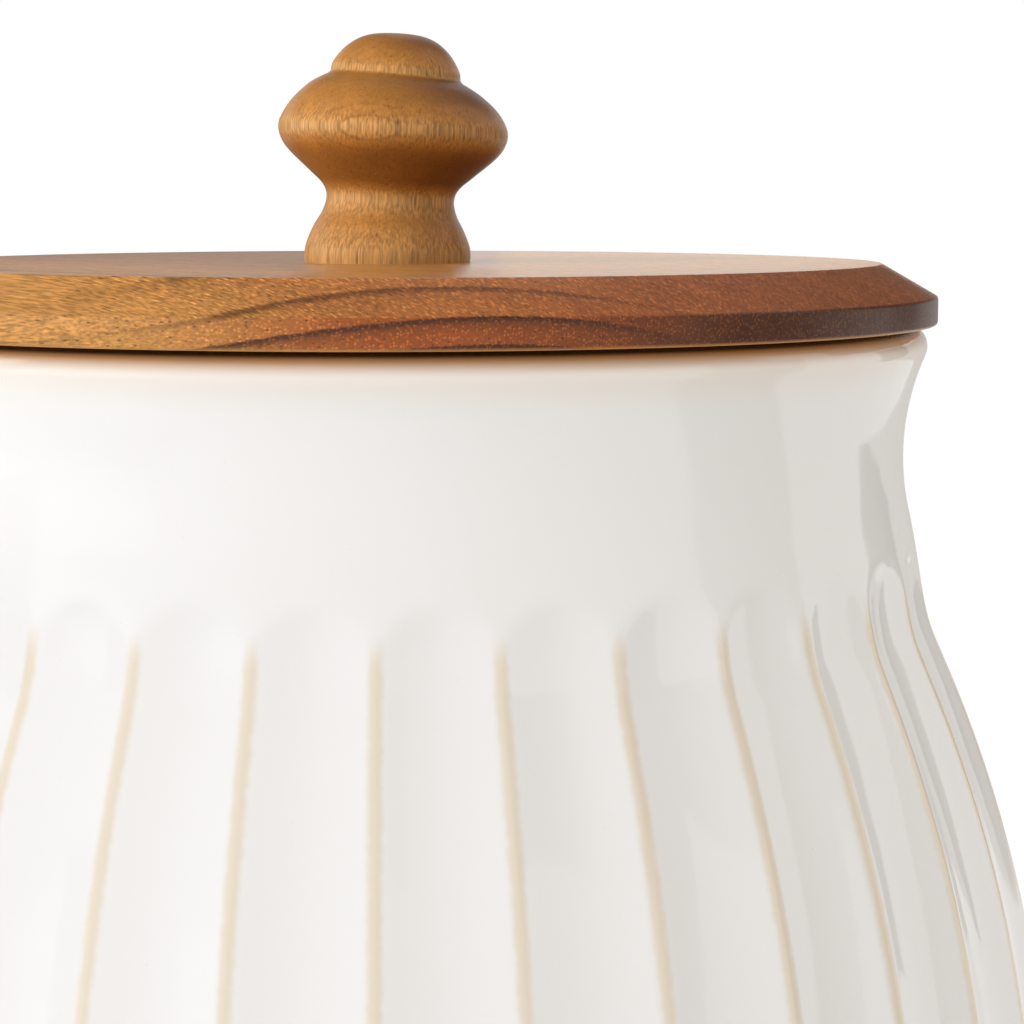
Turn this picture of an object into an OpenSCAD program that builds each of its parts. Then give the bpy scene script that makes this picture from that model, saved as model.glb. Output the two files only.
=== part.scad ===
// Onion keeper: a fluted stoneware crock with a loose round wooden lid.
// The crock stands on z = 0 with its axis on Z. The front, which looks along -Y, is the middle of a flute.

/* [Crock] */
// Height from the table to the rim
body_h = 172; // [150:1:200]
// Outer radius at the narrowest part of the neck
neck_r = 70.65; // [62:0.05:80]
// Drop from the rim to the narrowest part of the neck
neck_drop = 17.5; // [15:0.1:20]
// Radius of the neck's hollow curve
neck_curve_r = 34; // [31:0.5:37]
// Thickness of the neck wall
neck_wall = 5.65; // [4.5:0.05:7]
// Thickness of the wall behind the flutes
belly_wall = 5.5; // [4:0.1:7]
// Thickness of the floor
floor_t = 8; // [5:0.5:12]
// Radius of the corner between floor and wall, inside
floor_corner_r = 14; // [8:0.5:20]
// Radius of the roll on the outside of the rim
rim_roll_r = 2.9; // [2.2:0.1:3.4]
// Bevel on the inside edge of the rim
rim_bevel = 1.6; // [0.8:0.1:2.4]

/* [Flutes] */
// Number of flutes round the crock
flute_count = 32; // [28:4:36]
// Radius across a flute's hollow
flute_r = 24; // [20:0.5:28]
// Depth of a flute under its ridges, at the top
flute_top_depth = 1.33; // [1:0.01:1.5]
// Depth of a flute under its ridges, at the belly
flute_depth = 1.84; // [1.2:0.01:2.1]
// Drop from the rim to where the flutes take up the belly's curve
flute_drop = 43.5; // [40:0.5:47]
// How far the ridges stand out from the neck there
ridge_out = 5.45; // [4.5:0.05:6.5]
// How far the ridges stand out from the neck at the belly
belly_out = 21.2; // [18:0.1:25]
// Height of the widest part of the belly
belly_z = 56; // [46:1:66]
// Slope of the plain shoulder over the flutes, outwards for each unit of drop
shoulder_slope = 0.2; // [0.17:0.01:0.23]

/* [Foot] */
// Radius of the curve from the belly in to the foot
foot_curve_r = 22; // [16:0.5:26]
// Height of the bare foot ring
foot_h = 2; // [1:0.25:4]
// Width of the bare foot ring
foot_w = 9; // [6:0.5:14]
// How far the foot ring is set in from the curve's lowest line
foot_inset = 1.6; // [1:0.1:4]

/* [Lid] */
// How far the lid stands out over the rim
lid_overhang = 1.15; // [0.5:0.1:4]
// Thickness of the lid board
lid_t = 8.1; // [7:0.1:14]
// Run of the bevel round the lid's top
lid_bevel_run = 7.6; // [4:0.1:12]
// Drop of the bevel round the lid's top
lid_bevel_drop = 4.4; // [2:0.1:5.5]
// Rounding of the lid's lower edge
lid_edge_r = 1.1; // [0.6:0.1:1.6]
// Depth of the plug under the board
plug_t = 9; // [7:0.5:16]
// Room between the plug and the mouth
plug_clear = 1; // [0.5:0.1:2]
// Bevel on the plug's lower edge
plug_bevel = 1.5; // [0.5:0.1:3]

/* [Knob] */
// Lean of the knob to the right, in degrees
knob_lean = 2; // [0:0.5:4]
// Height of the knob over the lid
knob_h = 31.1; // [29:0.1:36]
// Radius of the knob's foot
knob_foot_r = 11.5; // [10.5:0.1:14]
// Radius of the knob's neck
knob_neck_r = 8.85; // [8:0.05:9.6]
// Height of the knob's neck
knob_neck_z = 8.7; // [8:0.1:9.4]
// Radius of the knob's bulb
knob_bulb_r = 15.9; // [15:0.1:18]
// Height of the widest part of the bulb
knob_bulb_z = 17.8; // [17.2:0.1:18.4]
// Radius of the crease under the knob's cap
knob_cap_r = 9.4; // [8.8:0.1:10]
// Height of the cap over its crease
knob_cap_h = 6; // [5:0.1:7]

/* [Screw] */
// Radius of the screw's shank
screw_r = 2; // [1.5:0.1:2.5]
// Length of the screw in the knob
screw_bite = 13; // [8:0.5:18]
// Radius of the screw's head
screw_head_r = 4.2; // [3.4:0.1:5]
// Height of the screw's head
screw_head_h = 2.4; // [1.5:0.1:3]
// Depth that the head is set into the plug
screw_sink = 3.4; // [3:0.1:5]
// Room round the screw in the board and the plug
screw_clear = 0.4; // [0.2:0.05:0.8]

/* [Hidden] */
$fn = 128;
// Curves that would only touch are made to cross by this much.
cross = 0.12;
// A cut runs this far past the face it opens.
over = 1;

// Rim and neck, from the neck's hollow curve and the roll that it runs into.
neck_z = body_h - neck_drop;
neck_c = neck_r + neck_curve_r;
roll_z = body_h - rim_roll_r + cross;
roll_reach = neck_curve_r + rim_roll_r - cross;
roll_c = neck_c - sqrt(pow(roll_reach, 2) - pow(roll_z - neck_z, 2));
roll_join_z = roll_z - rim_roll_r * (roll_z - neck_z) / roll_reach;
rim_r = roll_c + rim_roll_r;
mouth_r = neck_r - neck_wall;

// Ridges and flutes run down two arcs that are upright at the belly.
belly_r = neck_r + belly_out;
flute_z = body_h - flute_drop;
ridge_c = arc_c(neck_r + ridge_out, flute_z, belly_r, belly_z);
ridge_curve_r = belly_r - ridge_c;
flute_c = arc_c(neck_r + ridge_out - flute_top_depth, flute_z, belly_r - flute_depth, belly_z);
flute_curve_r = belly_r - flute_depth - flute_c;
flute_path_r = flute_curve_r + flute_r;
flute_top_a = asin((flute_z - belly_z) / flute_curve_r);
flute_end_a = -asin((belly_z + flute_r) / flute_path_r);

// Shoulder, which leaves the neck's hollow curve as a plain cone
shoulder_z = neck_z - 0.25 * neck_curve_r;
shoulder_r = neck_c - sqrt(pow(neck_curve_r, 2) - pow(neck_z - shoulder_z, 2)) + cross;
shoulder_end_z = flute_z;

// Foot
foot_curve_z = foot_h + foot_curve_r;
foot_curve_c = arc_x(ridge_c, belly_z, ridge_curve_r, foot_curve_z) - foot_curve_r;
foot_r = foot_curve_c - foot_inset;

// Inside
floor_z = foot_h + floor_t;
inner_curve_r = flute_curve_r - belly_wall;
corner_z = floor_z + floor_corner_r;
corner_c = arc_x(flute_c, belly_z, inner_curve_r, corner_z) - floor_corner_r;

// Lid
lid_r = rim_r + lid_overhang;
lid_top_z = body_h + lid_t;
plug_r = mouth_r - plug_clear;
plug_z = body_h - plug_t;

// Screw, head down in the plug
screw_seat_z = plug_z + screw_sink;
screw_tip_z = lid_top_z + screw_bite;
screw_hole_r = screw_r + screw_clear;
screw_sink_r = screw_head_r + 2 * screw_clear;

// The centre of an arc that starts at one point and is upright at another
function arc_c(r, z, end_r, end_z) = (pow(end_r, 2) - pow(r, 2) - pow(z - end_z, 2)) / (2 * (end_r - r));

// The right-hand side of a circle at a height
function arc_x(cx, cz, r, z) = cx + sqrt(r * r - (z - cz) * (z - cz));

// Points on an arc, both ends included
function arc(cx, cz, r, from, to, steps = 12) =
    [for (i = [0:steps]) let (a = from + (to - from) * i / steps) [cx + r * cos(a), cz + r * sin(a)]];

// Half of the crock's outside, before the flutes are cut
module crock_outline() {
    difference() {
        union() {
            // Belly
            intersection() {
                translate([ridge_c, belly_z]) circle(ridge_curve_r);
                translate([0, foot_curve_z]) square([2 * belly_r, shoulder_z - foot_curve_z]);
            }
            // Shoulder and neck
            polygon([
                [0, shoulder_end_z],
                [shoulder_r + shoulder_slope * (shoulder_z - shoulder_end_z), shoulder_end_z],
                [shoulder_r, shoulder_z],
                [shoulder_r, neck_z],
                [rim_r + over, neck_z],
                [rim_r + over, roll_join_z],
                [0, roll_join_z],
            ]);
            // Curve in to the foot
            translate([foot_curve_c, foot_curve_z]) circle(foot_curve_r);
            translate([0, foot_h + foot_w / 2]) square([foot_curve_c, foot_curve_r]);
            translate([0, foot_h]) square([foot_r - foot_w / 2, foot_curve_r]);
            // Foot ring
            translate([foot_r - foot_w, 0]) square([foot_w, foot_h + foot_w]);
        }
        translate([neck_c, neck_z]) circle(neck_curve_r);
    }
    // Rim
    intersection() {
        union() {
            translate([roll_c, roll_z]) circle(rim_roll_r);
            translate([0, roll_join_z - rim_roll_r]) square([roll_c, 3 * rim_roll_r]);
        }
        square([2 * rim_r, body_h]);
    }
}

// Half of the crock's hollow
module hollow_outline() {
    translate([0, flute_z - over]) square([mouth_r, flute_drop + 2 * over]);
    polygon([
        [0, body_h - rim_bevel],
        [mouth_r, body_h - rim_bevel],
        [mouth_r + rim_bevel + over, body_h + over],
        [0, body_h + over],
    ]);
    intersection() {
        translate([flute_c, belly_z]) circle(inner_curve_r);
        translate([0, corner_z]) square([2 * belly_r, flute_z + over - corner_z]);
    }
    translate([corner_c, corner_z]) intersection() {
        circle(floor_corner_r);
        translate([-over, -2 * floor_corner_r]) square([3 * floor_corner_r, 2 * floor_corner_r + over]);
    }
    translate([0, floor_z]) square([corner_c, floor_corner_r + over]);
}

// The ball that cuts the round top of a flute
module flute_ball() {
    translate([flute_c, 0, belly_z]) rotate([0, -flute_top_a, 0]) translate([flute_path_r, 0, 0]) sphere(flute_r);
}

// The bent bar that cuts the rest of a flute, down the belly and past the foot
module flute_bar() {
    translate([flute_c, 0, belly_z]) rotate([90, 0, 0]) rotate([0, 0, flute_end_a])
        rotate_extrude(angle = flute_top_a - flute_end_a)
            translate([flute_path_r, 0]) circle(flute_r);
}

// Every fourth flute, so that neighbours, which would run into each other outside the crock, are cut in turn
module every_fourth(first) {
    for (i = [first:4:flute_count - 1])
        rotate([0, 0, i * 360 / flute_count - 90]) children();
}

// The crock's outside with the first, second, third and fourth sets of flutes cut
module fluted(sets) {
    if (sets == 0)
        rotate_extrude() crock_outline();
    else
        difference() {
            difference() {
                fluted(sets - 1);
                every_fourth(sets - 1) flute_ball();
            }
            every_fourth(sets - 1) flute_bar();
        }
}

module crock() {
    color("#F1EFEA") difference() {
        fluted(4);
        rotate_extrude() hollow_outline();
    }
}

module lid_board() {
    color("#B9803F") translate([0, 0, body_h]) difference() {
        rotate_extrude() {
            polygon([
                [0, 0],
                [lid_r - lid_edge_r, 0],
                [lid_r, lid_edge_r],
                [lid_r, lid_t - lid_bevel_drop],
                [lid_r - lid_bevel_run, lid_t],
                [0, lid_t],
            ]);
            intersection() {
                translate([lid_r - lid_edge_r, lid_edge_r]) circle(lid_edge_r);
                square([lid_r, lid_edge_r]);
            }
        }
        translate([0, 0, -over]) cylinder(r = screw_hole_r, h = lid_t + 2 * over);
    }
}

module lid_plug() {
    color("#A8712F") translate([0, 0, plug_z]) difference() {
        rotate_extrude() polygon([
            [0, 0],
            [plug_r - plug_bevel, 0],
            [plug_r, plug_bevel],
            [plug_r, plug_t],
            [0, plug_t],
        ]);
        translate([0, 0, -over]) cylinder(r = screw_hole_r, h = plug_t + 2 * over);
        translate([0, 0, -over]) cylinder(r = screw_sink_r, h = screw_sink + over);
    }
}

// Half of the knob, from the foot up: flared foot, neck, bulb, crease and domed cap
module knob_outline() {
    foot_sweep = 42;
    foot_hollow_r = 6;
    bulb_sweep = 52;
    neck_hollow_r = 2.8;
    bulb_low_r = 4.3;
    bulb_high_r = 5;
    bulb_high_sweep = 55;
    cap_sweep = 31;
    cap_round_r = 3.4;
    cap_z = knob_h - knob_cap_h;
    cap_edge_z = knob_h - 0.55 - cap_round_r;
    cap_edge_r = knob_cap_r - (cap_edge_z + cap_round_r * sin(cap_sweep) - cap_z) * tan(cap_sweep);
    polygon(concat(
        [[0, -knob_foot_r], [knob_foot_r, -knob_foot_r], [knob_foot_r, 1.7]],
        arc(knob_neck_r + foot_hollow_r, knob_neck_z, foot_hollow_r, 180 + foot_sweep, 180, 6),
        arc(knob_neck_r + neck_hollow_r, knob_neck_z, neck_hollow_r, 180, 180 - bulb_sweep, 6),
        arc(knob_bulb_r - bulb_low_r, knob_bulb_z, bulb_low_r, -bulb_sweep, 0, 8),
        arc(knob_bulb_r - bulb_high_r, knob_bulb_z, bulb_high_r, 0, bulb_high_sweep, 8),
        [[knob_cap_r, cap_z]],
        arc(cap_edge_r - cap_round_r * cos(cap_sweep), cap_edge_z, cap_round_r, cap_sweep, 90, 8),
        [[0, knob_h]]
    ));
}

module knob() {
    color("#B47A35") translate([0, 0, lid_top_z]) difference() {
        rotate([0, knob_lean, 0]) rotate_extrude() knob_outline();
        translate([0, 0, -2 * knob_h]) cylinder(r = 3 * knob_bulb_r, h = 2 * knob_h);
        translate([0, 0, -over]) cylinder(r = screw_r, h = screw_bite + over);
    }
}

module knob_screw() {
    color("#B8BABD") translate([0, 0, screw_seat_z - screw_head_h]) {
        cylinder(r = screw_head_r, h = screw_head_h);
        cylinder(r = screw_r, h = screw_tip_z - screw_seat_z + screw_head_h);
    }
}

crock();
lid_board();
lid_plug();
knob();
knob_screw();
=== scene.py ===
"""Onion keeper: a fluted, glazed crock with a loose lid of oiled wood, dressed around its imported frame."""

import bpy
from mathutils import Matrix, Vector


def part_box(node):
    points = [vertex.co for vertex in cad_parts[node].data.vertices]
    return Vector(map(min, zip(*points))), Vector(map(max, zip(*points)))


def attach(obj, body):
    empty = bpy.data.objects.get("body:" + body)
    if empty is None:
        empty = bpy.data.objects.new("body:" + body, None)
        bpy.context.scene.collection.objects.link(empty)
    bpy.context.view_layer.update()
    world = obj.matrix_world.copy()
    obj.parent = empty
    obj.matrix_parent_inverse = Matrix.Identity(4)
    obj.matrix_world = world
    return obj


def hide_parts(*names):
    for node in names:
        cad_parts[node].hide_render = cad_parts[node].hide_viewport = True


bl_info = {
    "name": "Onion Keeper",
    "version": (1, 0, 0),
    "blender": (4, 5, 0),
    "location": "View3D > Sidebar > Onion Keeper",
    "description": "Builds a fluted crock with a turned wooden lid around its packed frame",
    "category": "Object",
}

import math

import bpy
import numpy as np
from mathutils import Euler, Matrix, Vector

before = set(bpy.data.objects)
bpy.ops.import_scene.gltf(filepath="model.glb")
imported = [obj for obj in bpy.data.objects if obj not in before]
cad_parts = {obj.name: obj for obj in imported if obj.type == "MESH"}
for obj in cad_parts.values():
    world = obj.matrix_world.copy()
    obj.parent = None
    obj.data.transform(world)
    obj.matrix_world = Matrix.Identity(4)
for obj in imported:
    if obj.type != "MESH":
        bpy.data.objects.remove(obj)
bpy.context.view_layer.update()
CROCK_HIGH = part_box("crock")[1]
BOARD_LOW, BOARD_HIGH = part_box("lid_board")
PLUG_LOW, PLUG_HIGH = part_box("lid_plug")
KNOB_LOW, KNOB_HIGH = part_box("knob")
SCREW_LOW, SCREW_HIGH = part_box("knob_screw")

FLUTES = 32
# The box's sides lie at the middle of a flute, half a flute away from the nearest ridges
BELLY_R = CROCK_HIGH.x / math.cos(math.pi / FLUTES)
UP = Vector((0, 0, 1))
WHITE = (1, 1, 1)
ON_AXIS = 1e-9  # points nearer to the axis than this are on it
SHARP_ANGLE = math.radians(35)  # edges that turn by more than this stay crisp
STAGE_MIDDLE = Vector((0, 0, 0.15))  # what the light and the cards are set round
RING_LINE = 0.93  # where a year's growth has its dark line, from 0 to 1
WOOD_SIZES = (
    "Heart Start", "Heart Full", "Heart End",
    "Ring Spacing", "Ring Start", "Ring Bend", "Rings", "Ring Middle", "Ring Reach",
    "Pore Spacing", "Pore Size", "Pores", "Flecks",
)

# Half of the knob's turning, as heights and radii in metres, from its foot to the middle of its cap
KNOB_TURNING = (
    (0.0, 0.0115), (0.002, 0.01145), (0.0045, 0.0105), (0.0067, 0.0093), (0.0087, 0.00885),
    (0.0103, 0.00945), (0.012, 0.0113), (0.0145, 0.01415), (0.0161, 0.0154), (0.0178, 0.0159),
    (0.0194, 0.0155), (0.0215, 0.0141), (0.0235, 0.0119), (0.0245, 0.01026), (0.0252, 0.0091),
    (0.0263, 0.00886), (0.0275, 0.00822), (0.0288, 0.00718), (0.03, 0.00566), (0.0307, 0.00403),
    (0.031, 0.00226), (0.0311, 0.0),
)

# Cards that only gloss shows, in the order of their name, shade, distance in metres, and sides and heights
# in degrees. Where a third pair follows, it has the sides at the top.
CARDS = (
    ("card_window", "window", 0.9, (-80, -52), (-7, 10)),
    ("card_left", "pale card", 0.9, (-125, -80), (-9, 12)),
    ("card_low_left", "pale card", 0.36, (-125, -45), (-24, -12)),
    ("card_right", "grey card", 0.25, (53, 77), (-36, 18)),
    ("card_far_foot", "dark card", 0.9, (115.5, 119.5), (-9, -2.5), (115, 130)),
    ("card_far_right", "dark card", 0.9, (115, 130), (-2.5, 12), (113, 130)),
    ("card_far_wing", "pale card", 0.91, (119, 158), (-9, 10), (129, 158)),
    ("card_knob_right", "dark card", 0.125, (70, 128), (16.7, 38)),
    ("card_knob_left", "knob window", 0.125, (-120, -60), (16.7, 27)),
    ("card_back_left", "grey card", 0.93, (176, 240), (-8, 14)),
    ("card_shade_1", "shade card 1", 0.9, (22, 31), (17, 40)),
    ("card_shade_2", "shade card 2", 0.9, (31, 40), (17, 40)),
    ("card_shade_3", "shade card 3", 0.9, (40, 49), (17, 40)),
    ("card_shade_4", "shade card 4", 0.9, (49, 80), (17, 40)),
    ("card_back_warm", "warm card", 0.94, (150, 172.5), (0.5, 8)),
    ("card_back_right", "dark card", 0.92, (128, 152), (24, 60)),
    ("card_back", "dark card", 0.92, (178, 235), (26, 60)),
    ("card_ceiling", "dark card", 0.95, (-180, 180), (60, 89)),
)
SHADE_STEPS = 4
SHADE_STEP = 0.21  # how much of the light from all round each shade card loses to the one before


def tint(code):
    """A colour written as on a paint chart, in the linear values that Blender mixes."""
    parts = [int(code[i:i + 2], 16) / 255 for i in (0, 2, 4)]
    return tuple(c / 12.92 if c <= 0.04045 else ((c + 0.055) / 1.055) ** 2.4 for c in parts)


def length(name, description, default):
    """A size in metres that a user can change."""
    return bpy.props.FloatProperty(
        name=name, description=description, default=default, unit="LENGTH", precision=5)


def angle(name, description, degrees):
    """An angle that a user can change."""
    return bpy.props.FloatProperty(
        name=name, description=description, default=math.radians(degrees), unit="ROTATION")


def share(name, description, default):
    """A plain number that a user can change."""
    return bpy.props.FloatProperty(name=name, description=description, default=default, precision=3)


def paint(name, covered, code):
    """A colour that a user can change, and what has that colour."""
    return bpy.props.FloatVectorProperty(
        name=name, description="Colour of the " + covered, default=tint(code), subtype="COLOR", min=0, max=1)


class OnionKeeperCrock(bpy.types.PropertyGroup):
    """Sizes and colours of the crock"""

    rim_z: length("Rim height", "From the table to the rim", CROCK_HIGH.z)
    belly_r: length("Belly radius", "Out to the ridges at the widest part", BELLY_R)
    belly_z: length("Belly height", "Height of the widest part", 0.056)
    neck_r: length("Neck radius", "Outer radius at the narrowest part", 0.07065)
    neck_drop: length("Neck drop", "From the rim to the narrowest part", 0.0175)
    neck_curve_r: length("Neck curve", "Radius of the neck's hollow curve", 0.034)
    neck_wall: length("Neck wall", "Thickness of the neck", 0.00565)
    belly_wall: length("Belly wall", "Thickness behind the flutes", 0.0055)
    floor_t: length("Floor", "Thickness of the floor", 0.008)
    floor_corner_r: length("Floor corner", "Radius between floor and wall, inside", 0.014)
    rim_roll_r: length("Rim roll", "Radius of the roll on the outside of the rim", 0.0029)
    rim_bevel: length("Rim bevel", "Bevel on the inside edge of the rim", 0.0016)
    shoulder_slope: share("Shoulder slope", "Run outwards for each unit of drop", 0.2)
    flute_count: bpy.props.IntProperty(
        name="Flutes", description="Number of flutes round the crock", default=FLUTES)
    flute_top_depth: length("Top depth", "Depth of a flute under its ridges, at the top", 0.00133)
    flute_depth: length("Belly depth", "Depth of a flute under its ridges, at the belly", 0.00184)
    flute_drop: length("Flute drop", "From the rim to where the belly's curve starts", 0.0435)
    ridge_out: length("Ridge run", "How far the ridges stand out from the neck there", 0.00545)
    arch_drop: length("Arch drop", "From the rim to where the flutes start to close", 0.036)
    arch_rise: length("Arch rise", "Height of the round top of a flute", 0.007)
    crest_round: share("Crest rounding", "Softness of a ridge, as a share of half a flute", 0.06)
    edge_soft: length("Edge softness", "How softly a flute's top runs into the shoulder", 0.0006)
    foot_curve_r: length("Foot curve", "Radius of the curve from the belly to the foot", 0.022)
    foot_h: length("Foot height", "Height of the bare foot ring", 0.002)
    foot_w: length("Foot width", "Width of the bare foot ring", 0.009)
    foot_inset: length("Foot inset", "How far the foot ring is set in", 0.0016)
    foot_edge_r: length("Foot edge", "Rounding of the foot ring's edges", 0.0006)
    honey_drop: length("Honey drop", "From the rim to where the ridges show clay", 0.035)
    honey_half: length("Honey width", "Half of the width of the honey line on a ridge", 0.001)
    glaze: paint("Glaze", "glaze where it lies thick", "F3F2F0")
    honey: paint("Honey", "glaze where it breaks on a ridge", "E9DCC5")
    # Blush, rim clay and rim crown are partly the thin glaze and bare clay of the rim, and partly painted
    # reflection of the lid and painted shade under it
    blush_and_lid_reflection: paint("Blush", "thin glaze under the rim", "EFDCC4")
    clay: paint("Clay", "bare foot", "C8A786")
    rim_clay_and_shade: paint("Rim clay", "thinnest glaze, along the rim", "BE9162")
    rim_crown_clay_and_shade: paint("Rim crown", "bare top of the rim", "6B4526")
    # The rim line is a painted shadow of the gap under the lid
    rim_gap_shadow: paint("Rim line", "dark line on the outside of the rim", "22130A")


class OnionKeeperLid(bpy.types.PropertyGroup):
    """Sizes and colours of the lid board and the plug under it"""

    board_r: length("Board radius", "Outer radius of the board", BOARD_HIGH.x)
    bevel_run: length("Bevel run", "Run of the bevel round the top", 0.0076)
    bevel_drop: length("Bevel drop", "Drop of the bevel round the top", 0.0044)
    crease_r: length("Crease rounding", "Rounding of the bevel's two creases", 0.0006)
    edge_r: length("Edge rounding", "Rounding of the lower edge", 0.0005)
    hole_r: length("Screw hole", "Radius of the hole for the screw", 0.0024)
    plug_r: length("Plug radius", "Outer radius of the plug", PLUG_HIGH.x)
    plug_bevel: length("Plug bevel", "Bevel on the plug's lower edge", 0.0015)
    sink_r: length("Sink radius", "Radius of the hollow for the screw's head", 0.005)
    sink: length("Sink depth", "Depth of the hollow for the screw's head", 0.0034)
    ring_step: length("Ring spacing", "Distance from one growth ring to the next", 0.00318)
    ring_z: length("Ring height", "Where a growth ring arches highest, over the board's underside", 0.00386)
    ring_r: length("Ring radius", "Radius of that ring round the heart of the tree", 0.07262)
    ring_side: length("Ring side", "Where it arches highest, to the right of the axis", -0.04274)
    fibre_turn: angle("Fibre turn", "Direction of the fibres, to the right of the front", 40)
    pale: paint("Pale wood", "sapwood", "C98E48")
    mid: paint("Middle wood", "heartwood", "A05224")
    dark: paint("Dark wood", "ring lines and of the deepest heartwood", "4A2614")


class OnionKeeperKnob(bpy.types.PropertyGroup):
    """Sizes and colours of the knob and its screw"""

    height: length("Height", "Height over the board", KNOB_HIGH.z - KNOB_LOW.z)
    bulb_r: length("Bulb radius", "Radius of the widest part", 0.01572)
    lean: angle("Lean", "Lean to the right", 2.8)
    crease_tilt: angle("Crease tilt", "How much more the crease under the cap leans", 2.1)
    crease_z: length("Crease height", "Height of the crease under the cap", 0.0252)
    crease_reach: length("Crease reach", "How far from the crease its own lean fades", 0.0035)
    lean_z: length("Lean height", "Height over the board from which all of the knob leans", 0.006)
    ring_step: length("Ring spacing", "Distance from one growth ring to the next", 0.0009)
    ring_r: length("Ring radius", "Radius of the ring that the bulb's front just reaches", 0.0752)
    ring_turn: angle("Ring turn", "How far the rings' nearest point is to the left of the front", 15.5)
    pale: paint("Pale wood", "sapwood", "CE9C5C")
    mid: paint("Middle wood", "heartwood", "AE7432")
    dark: paint("Dark wood", "ring lines and of the deepest heartwood", "5C3013")
    shank_r: length("Screw radius", "Radius of the screw over its thread", 0.002)
    thread_depth: length("Thread depth", "Depth of the screw's thread", 0.0005)
    thread_pitch: length("Thread pitch", "Rise of the thread for each turn", 0.0018)
    head_r: length("Head radius", "Radius of the screw's head", 0.0042)
    head_h: length("Head height", "Height of the screw's head", 0.0024)
    steel: paint("Steel", "screw", "B9BABC")


class OnionKeeperStage(bpy.types.PropertyGroup):
    """Camera and light"""

    distance: length("Distance", "From the camera to the crock's axis", 0.4)
    camera_z: length("Height", "Height of the camera", 0.19083)
    turn: angle("Turn", "Place of the camera to the left of the front", 4.375)
    yaw: angle("Yaw", "How far the camera looks to the right of the axis", 2.45)
    pitch: angle("Pitch", "How far the camera looks down", 6.472)
    lens: share("Lens", "Focal length in millimetres", 101.86)
    ambient: share("Ambient", "Strength of the light from all round", 0.79)
    key: share("Key", "Power of the soft light on the left, in watts", 4.0)
    spot: share("Spot", "Power of the spotlight on the knob, in watts", 60)
    window: share("Window", "Strength of the window that the glaze mirrors on the left", 1.3)
    knob_window: share("Knob window", "Strength of the window that the knob mirrors on the left", 3.0)
    ambient_tint: paint("Ambient tint", "light from all round", "FFFAF5")
    key_tint: paint("Key tint", "soft light on the left", "EDF4FF")
    floor: paint("Floor", "floor", "F2F2F1")
    card: paint("Card", "dark cards that the glaze mirrors", "5A5856")
    grey_card: paint("Grey card", "grey cards that the glaze and the lid mirror", "8A8783")
    pale_card: paint("Pale card", "pale cards that the glaze mirrors", "CECBC7")
    warm_card: paint("Warm card", "card that the lid's top mirrors on the right", "FFEED8")
    warm_glow: share("Warm glow", "Strength of the card that the lid's top mirrors on the right", 1.45)


class OnionKeeperSettings(bpy.types.PropertyGroup):
    """All settings of the onion keeper"""

    crock: bpy.props.PointerProperty(type=OnionKeeperCrock)
    lid: bpy.props.PointerProperty(type=OnionKeeperLid)
    knob: bpy.props.PointerProperty(type=OnionKeeperKnob)
    stage: bpy.props.PointerProperty(type=OnionKeeperStage)


def added(name, data):
    """A new object in the scene."""
    made = bpy.data.objects.new(name, data)
    bpy.context.scene.collection.objects.link(made)
    return made


# Outlines, as points of radius and height

def arc(centre, radius, start, end, steps):
    """Points on an arc between two angles in radians, both ends included."""
    turns = np.linspace(start, end, steps + 1)
    return [(centre[0] + radius * math.cos(a), centre[1] + radius * math.sin(a)) for a in turns]


def rounded(corners, steps=5):
    """An outline through corners of radius, height and rounding, with an arc at each rounded corner."""
    points = []
    for i, (r, z, rounding) in enumerate(corners):
        here = Vector((r, z))
        if rounding == 0:
            points.append((r, z))
            continue
        before = (Vector(corners[i - 1][:2]) - here).normalized()
        after = (Vector(corners[(i + 1) % len(corners)][:2]) - here).normalized()
        half = before.angle(after) / 2
        centre = here + (before + after).normalized() * rounding / math.sin(half)
        first = here + before * rounding / math.tan(half) - centre
        last = here + after * rounding / math.tan(half) - centre
        start = math.atan2(first.y, first.x)
        sweep = math.remainder(math.atan2(last.y, last.x) - start, math.tau)
        points += arc(centre, rounding, start, start + sweep, steps)
    return points


def smooth_step(low, high, value):
    """0 below low, 1 above high and an even curve between them."""
    part = min(max((value - low) / (high - low), 0), 1)
    return part * part * (3 - 2 * part)


def smooth_max(a, b, reach):
    """The larger of two values, with the corner where they cross rounded off."""
    near = max(reach - abs(a - b), 0) / reach
    return max(a, b) + near ** 3 * reach / 6


def through(points, steps):
    """A smooth curve through points, steps for each stretch between two of them."""
    ends = [points[0]] + list(points) + [points[-1]]
    curve = []
    for a, b, c, d in zip(ends, ends[1:], ends[2:], ends[3:]):
        a, b, c, d = (np.array(p) for p in (a, b, c, d))
        for k in range(steps):
            t = k / steps
            curve.append(
                0.5 * (2 * b + (c - a) * t + (2 * a - 5 * b + 4 * c - d) * t ** 2
                       + (3 * b - a - 3 * c + d) * t ** 3))
    curve.append(np.array(points[-1]))
    return [tuple(p) for p in curve]


def revolve(name, outline, turns, loop=False):
    """A closed object made by turning an outline round Z. A point of the outline that is on the axis stays
    a single point."""
    points, rows = [], []
    for r, z in outline:
        around = [(0, 0, z)] if r < ON_AXIS else [(r * math.cos(a), r * math.sin(a), z) for a in turns]
        rows.append(range(len(points), len(points) + len(around)))
        points += around
    faces = []
    for low, high in zip(rows, rows[1:] + rows[:1] if loop else rows[1:]):
        for j in range(len(turns)):
            k = (j + 1) % len(turns)
            if len(low) == 1:
                faces.append((low[0], high[k], high[j]))
            elif len(high) == 1:
                faces.append((low[j], low[k], high[0]))
            else:
                faces.append((low[j], low[k], high[k], high[j]))
    mesh = bpy.data.meshes.new(name)
    mesh.from_pydata(points, [], faces)
    mesh.shade_smooth()
    mesh.set_sharp_from_angle(angle=SHARP_ANGLE)
    return added(name, mesh)


def even_turns(count):
    """Angles at an even step round the axis."""
    return np.linspace(0, math.tau, count, endpoint=False)


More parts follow.
